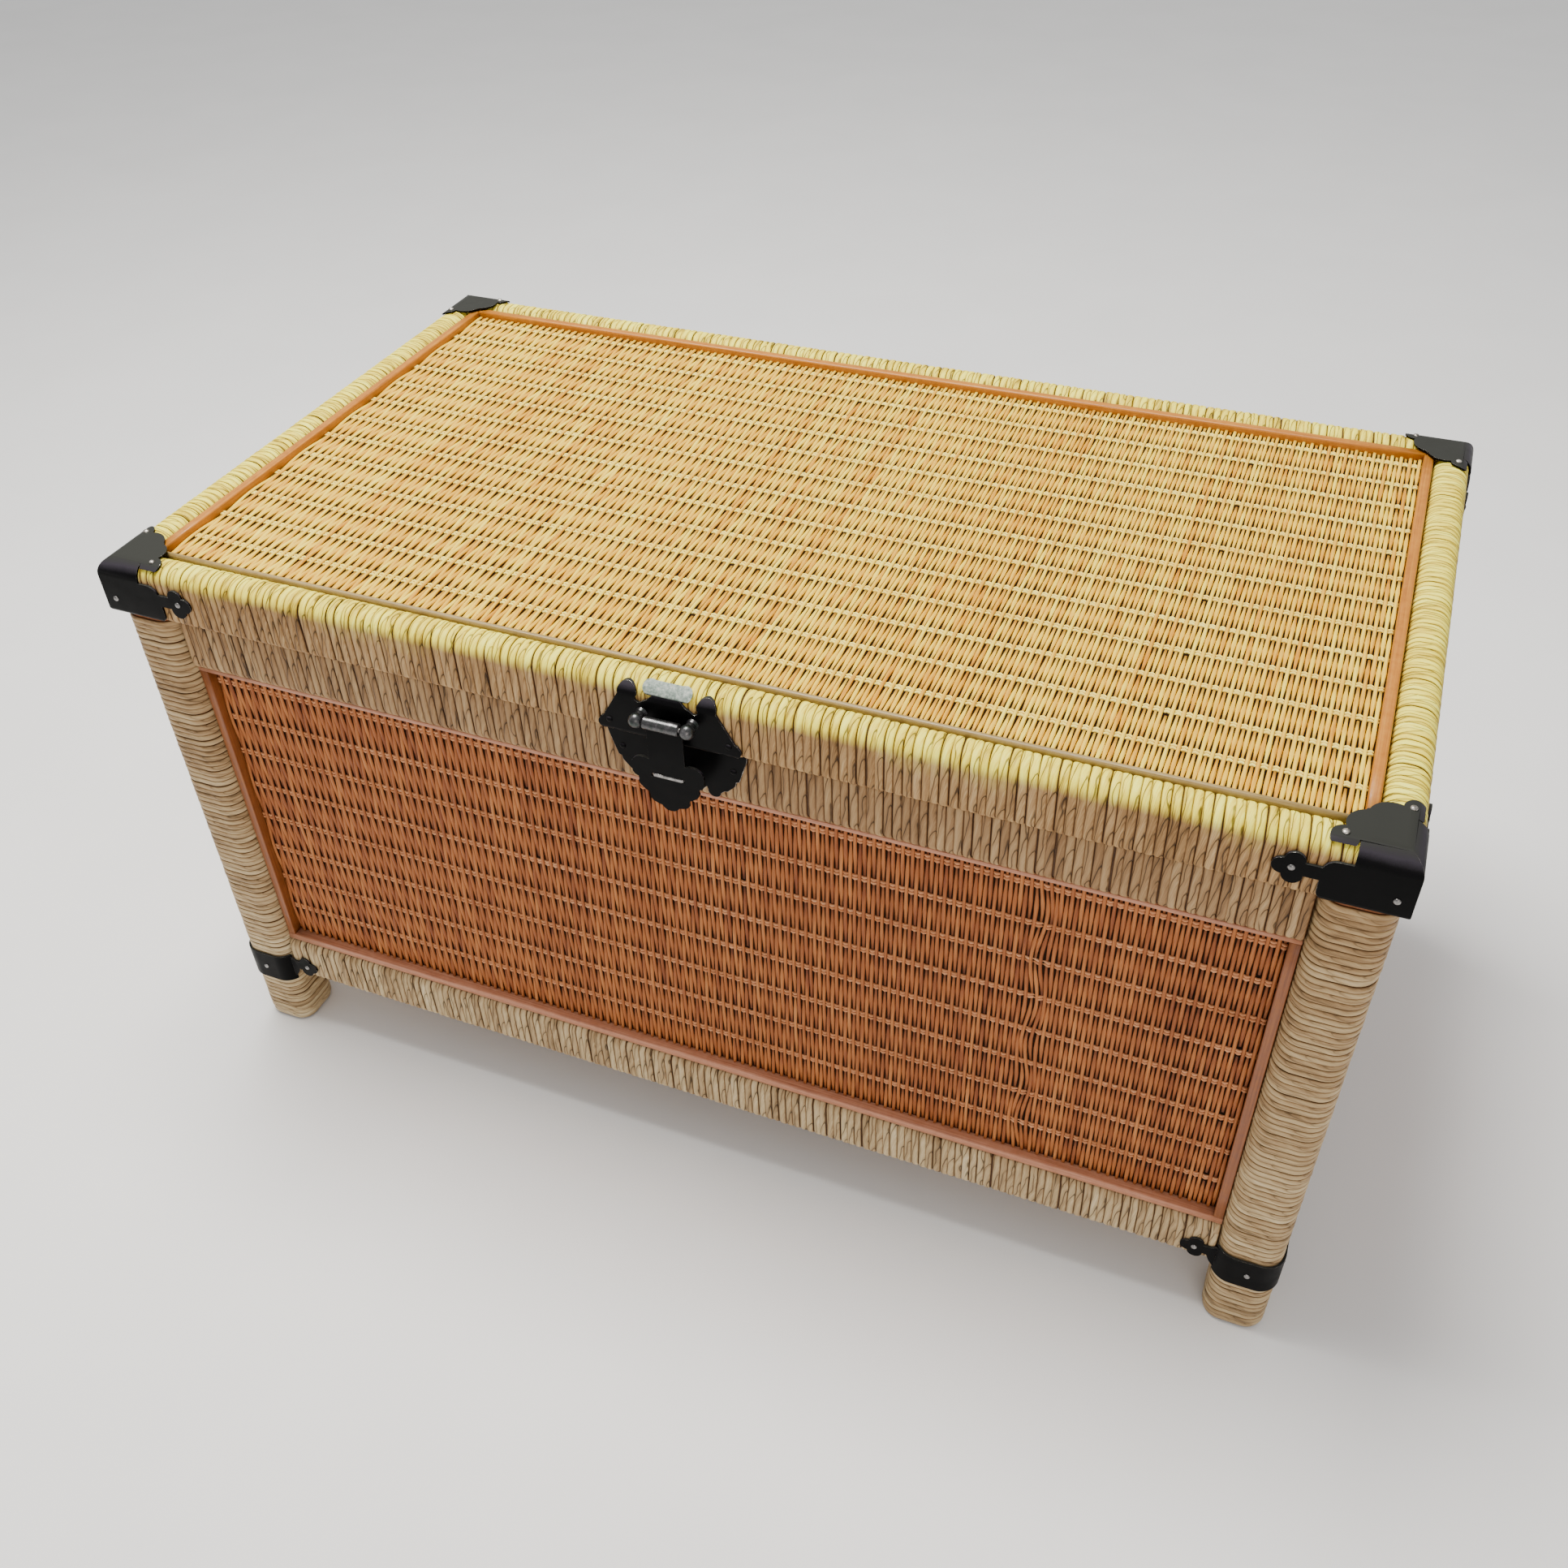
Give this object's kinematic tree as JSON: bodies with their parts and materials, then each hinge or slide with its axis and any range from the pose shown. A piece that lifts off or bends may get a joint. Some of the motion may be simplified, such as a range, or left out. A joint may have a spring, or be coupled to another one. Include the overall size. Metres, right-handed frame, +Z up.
{
  "type": "wicker storage trunk",
  "caption": "Rectangular trunk with a cord-wrapped frame, woven cane panels, black iron corner fittings, a back-hinged lid and a front hasp lock.",
  "frame": {"origin": "on the floor under the middle of the trunk's overall box", "axes": "+X along the length to the right seen from the front, +Y to the back, +Z up"},
  "size_m": [0.8626, 0.506, 0.4653],
  "materials": {
    "frame_cord": "wooden bar wound with flat twisted natural-fibre cord, tan, matt with a faint sheen",
    "lid_cord": "wooden bar wound with flat twisted natural-fibre cord, straw yellow, semi-matt",
    "body_weave": "orange-brown split cane weave over paired round stakes, satin",
    "lid_weave": "pale honey split cane weave over paired round stakes, satin",
    "trim_wood": "stained reddish-brown wooden slat, satin",
    "board_wood": "plain light-brown board, matt",
    "iron": "blackened sheet iron, dark grey where it is worn",
    "steel": "worn plain steel"
  },
  "bodies": {
    "body": {"back_panel": "body_weave", "back_trim": "trim_wood", "floor_batten_left": "board_wood", "floor_batten_middle": "board_wood", "floor_batten_right": "board_wood", "floor_board": "board_wood", "foot_strap_back_left": "iron", "foot_strap_back_right": "iron", "foot_strap_front_left": "iron", "foot_strap_front_right": "iron", "front_panel": "body_weave", "front_trim": "trim_wood", "hinge_body_leaf_left": "iron", "hinge_body_leaf_right": "iron", "hinge_pin_left": "steel", "hinge_pin_right": "steel", "left_panel": "body_weave", "left_trim": "trim_wood", "lock_plate_lower": "iron", "lock_staple": "steel", "lower_rail_back": "frame_cord", "lower_rail_front": "frame_cord", "lower_rail_left": "frame_cord", "lower_rail_right": "frame_cord", "post_back_left": "frame_cord", "post_back_right": "frame_cord", "post_front_left": "frame_cord", "post_front_right": "frame_cord", "right_panel": "body_weave", "right_trim": "trim_wood", "upper_rail_back": "frame_cord", "upper_rail_front": "frame_cord", "upper_rail_left": "frame_cord", "upper_rail_right": "frame_cord"},
    "lid": {"hasp_pin": "steel", "hinge_lid_leaf_left": "iron", "hinge_lid_leaf_right": "iron", "lid_brace_left": "trim_wood", "lid_brace_right": "trim_wood", "lid_bracket_back_left": "iron", "lid_bracket_back_right": "iron", "lid_bracket_front_left": "iron", "lid_bracket_front_right": "iron", "lid_panel": "lid_weave", "lid_rail_back": "lid_cord", "lid_rail_front": "lid_cord", "lid_rail_left": "lid_cord", "lid_rail_right": "lid_cord", "lid_strip_back": "trim_wood", "lid_strip_front": "trim_wood", "lid_strip_left": "trim_wood", "lid_strip_right": "trim_wood", "lock_plate_upper": "iron"},
    "hasp": {"hasp": "iron"}
  },
  "joints": [
    {"name": "lid_hinge", "type": "hinge", "parent": "body", "child": "lid", "pos_m": [0, 0.24905, 0.421], "axis": [-1, 0, 0], "range_deg": [0, 100]},
    {"name": "hasp_hinge", "type": "hinge", "parent": "lid", "child": "hasp", "pos_m": [0, -0.24825, 0.442], "axis": [-1, 0, 0], "range_deg": [0, 150]}
  ]
}
